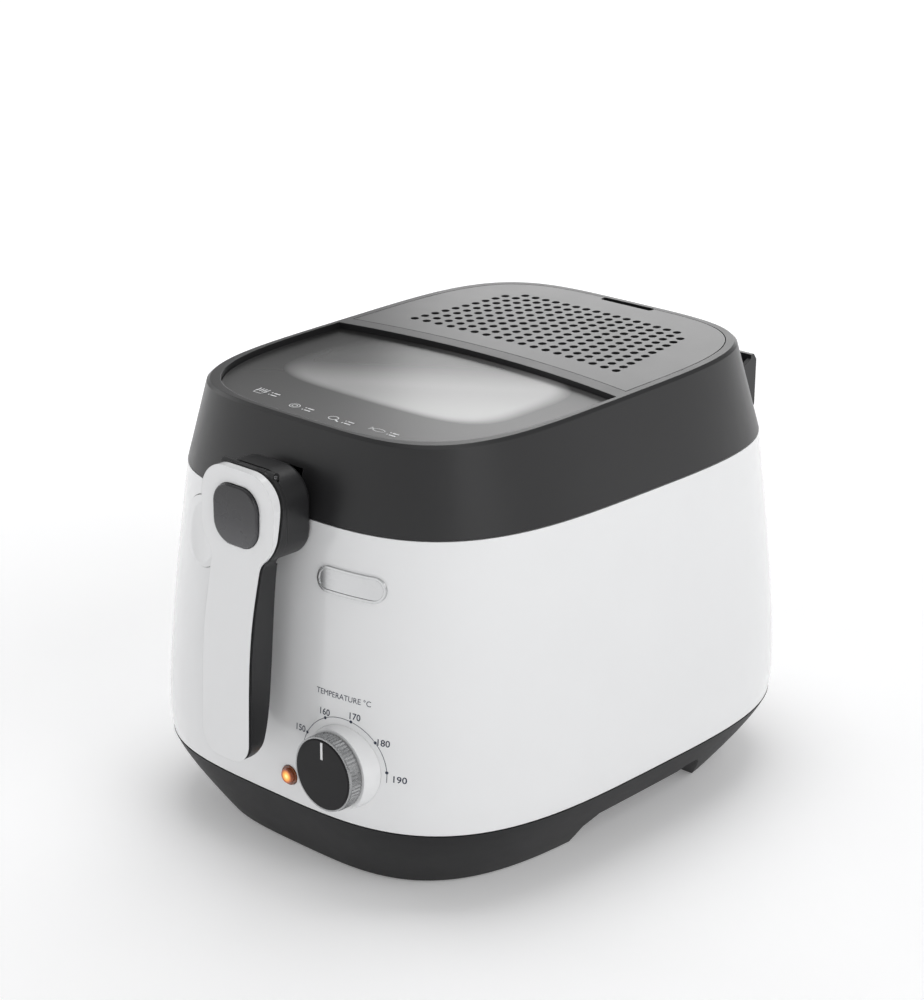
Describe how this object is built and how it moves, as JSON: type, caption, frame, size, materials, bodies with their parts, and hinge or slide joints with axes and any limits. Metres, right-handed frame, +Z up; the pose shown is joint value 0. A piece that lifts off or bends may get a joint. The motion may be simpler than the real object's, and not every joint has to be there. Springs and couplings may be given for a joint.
{
  "type": "deep fryer",
  "caption": "Oval-cornered household deep fryer with a hinged windowed lid, vented filter cover, fold-down front handle that lifts the basket, and a dial thermostat.",
  "frame": {"origin": "on the plane the feet stand on, below the centre of the oil bowl", "axes": "+Z up; the front, with the handle and dial, faces -Y; +X is to the right for someone looking at the front"},
  "size_m": [0.2996, 0.4132, 0.2823],
  "materials": {
    "black_plastic": "satin moulded heat-proof plastic",
    "white_plastic": "gloss moulded plastic",
    "rubber": "matt moulded rubber",
    "silicone": "soft silicone",
    "steel": "bright zinc-plated or stainless steel",
    "nonstick": "non-stick coated aluminium",
    "aluminium": "satin rolled aluminium",
    "element_steel": "heat-darkened steel sheath",
    "ceramic": "steatite ceramic",
    "phenolic": "brown phenolic moulding",
    "copper": "drawn copper",
    "lead_wire": "silicone-insulated lead",
    "lamp_glass": "neon lamp envelope",
    "amber_lens": "amber lens",
    "chrome": "bright chrome plating",
    "window_glass": "toughened glass with a printed border",
    "filter_mat": "charcoal fibre mat",
    "grey_plastic": "dark grey moulded plastic"
  },
  "bodies": {
    "chassis": {"base_tray": "black_plastic", "rubber_feet": "rubber", "base_screws": "steel", "support_posts": "ceramic", "outer_casing": "white_plastic", "rim_collar": "black_plastic", "oil_bowl": "nonstick", "bowl_cradle": "steel", "heat_spreader": "aluminium", "heating_element": "element_steel", "element_terminals": "ceramic", "heat_shield": "aluminium", "shield_clips": "steel", "thermostat": "phenolic", "thermostat_bulb": "copper", "bulb_clips": "steel", "thermal_cutout": "phenolic", "terminal_block": "ceramic", "wiring": "lead_wire", "pilot_lamp": "lamp_glass", "pilot_lens": "amber_lens", "cord_gland": "black_plastic", "dial_bezel": "white_plastic", "badge": "chrome", "button_guide": "black_plastic", "latch_pin": "steel", "hinge_bracket": "steel", "hinge_pin": "steel", "hinge_screws": "steel", "hinge_cover": "black_plastic", "release_spring": "steel"},
    "temperature_knob": {"knob_ring": "chrome", "knob_cap": "black_plastic", "knob_pointer": "white_plastic", "knob_shaft": "steel"},
    "lid_button": {"lid_button": "white_plastic"},
    "latch": {"latch_lever": "black_plastic"},
    "lid": {"lid_frame": "black_plastic", "lid_window": "window_glass", "window_gasket": "silicone", "viewing_well": "black_plastic", "filter_housing": "black_plastic", "odour_filter": "filter_mat", "lid_liner": "aluminium", "lid_seal": "silicone", "lid_screws": "steel", "lid_catch": "black_plastic", "lid_hinge_arm": "steel"},
    "vent_cover": {"filter_cover": "black_plastic"},
    "basket_carriage": {"handle_housing": "black_plastic", "handle_pin": "steel", "lift_bracket": "steel", "basket_rim": "steel", "basket_mesh": "steel"},
    "handle": {"handle_cover": "white_plastic", "handle_core": "black_plastic", "button_spring": "steel"},
    "head_button": {"handle_button": "grey_plastic"}
  },
  "joints": [
    {"name": "lid_hinge", "type": "hinge", "parent": "chassis", "child": "lid", "pos_m": [0, 0.184, 0.233], "axis": [-1, 0, 0], "range_deg": [0, 80]},
    {"name": "filter_cover_tilt", "type": "hinge", "parent": "lid", "child": "vent_cover", "pos_m": [0, 0.00106, 0.27803], "axis": [1, 0, 0], "range_deg": [0, 60]},
    {"name": "temperature_dial", "type": "hinge", "parent": "chassis", "child": "temperature_knob", "pos_m": [0.061, -0.19, 0.083], "axis": [0, 1, 0], "range_deg": [-110, 84]},
    {"name": "lid_button_press", "type": "slide", "parent": "chassis", "child": "lid_button", "axis": [0, 1, 0], "range_m": [0, 0.003], "stiffness_N_per_m": 500, "springref_m": -0.002, "deforming": ["release_spring"]},
    {"name": "latch_rock", "type": "hinge", "parent": "chassis", "child": "latch", "pos_m": [-0.057, -0.161, 0.2], "axis": [1, 0, 0], "range_deg": [0, 11]},
    {"name": "basket_lift", "type": "slide", "parent": "chassis", "child": "basket_carriage", "axis": [0, 0, 1], "range_m": [0, 0.04]},
    {"name": "handle_fold", "type": "hinge", "parent": "basket_carriage", "child": "handle", "pos_m": [0, -0.1915, 0.2514], "axis": [-1, 0, 0], "range_deg": [0, 90]},
    {"name": "handle_button_press", "type": "slide", "parent": "handle", "child": "head_button", "axis": [0, 1, 0], "range_m": [0, 0.003], "stiffness_N_per_m": 500, "springref_m": -0.002, "deforming": ["button_spring"]}
  ],
  "couplings": [
    {"joint": "latch_rock", "follows": "lid_button_press", "rad_per_m": 60}
  ]
}
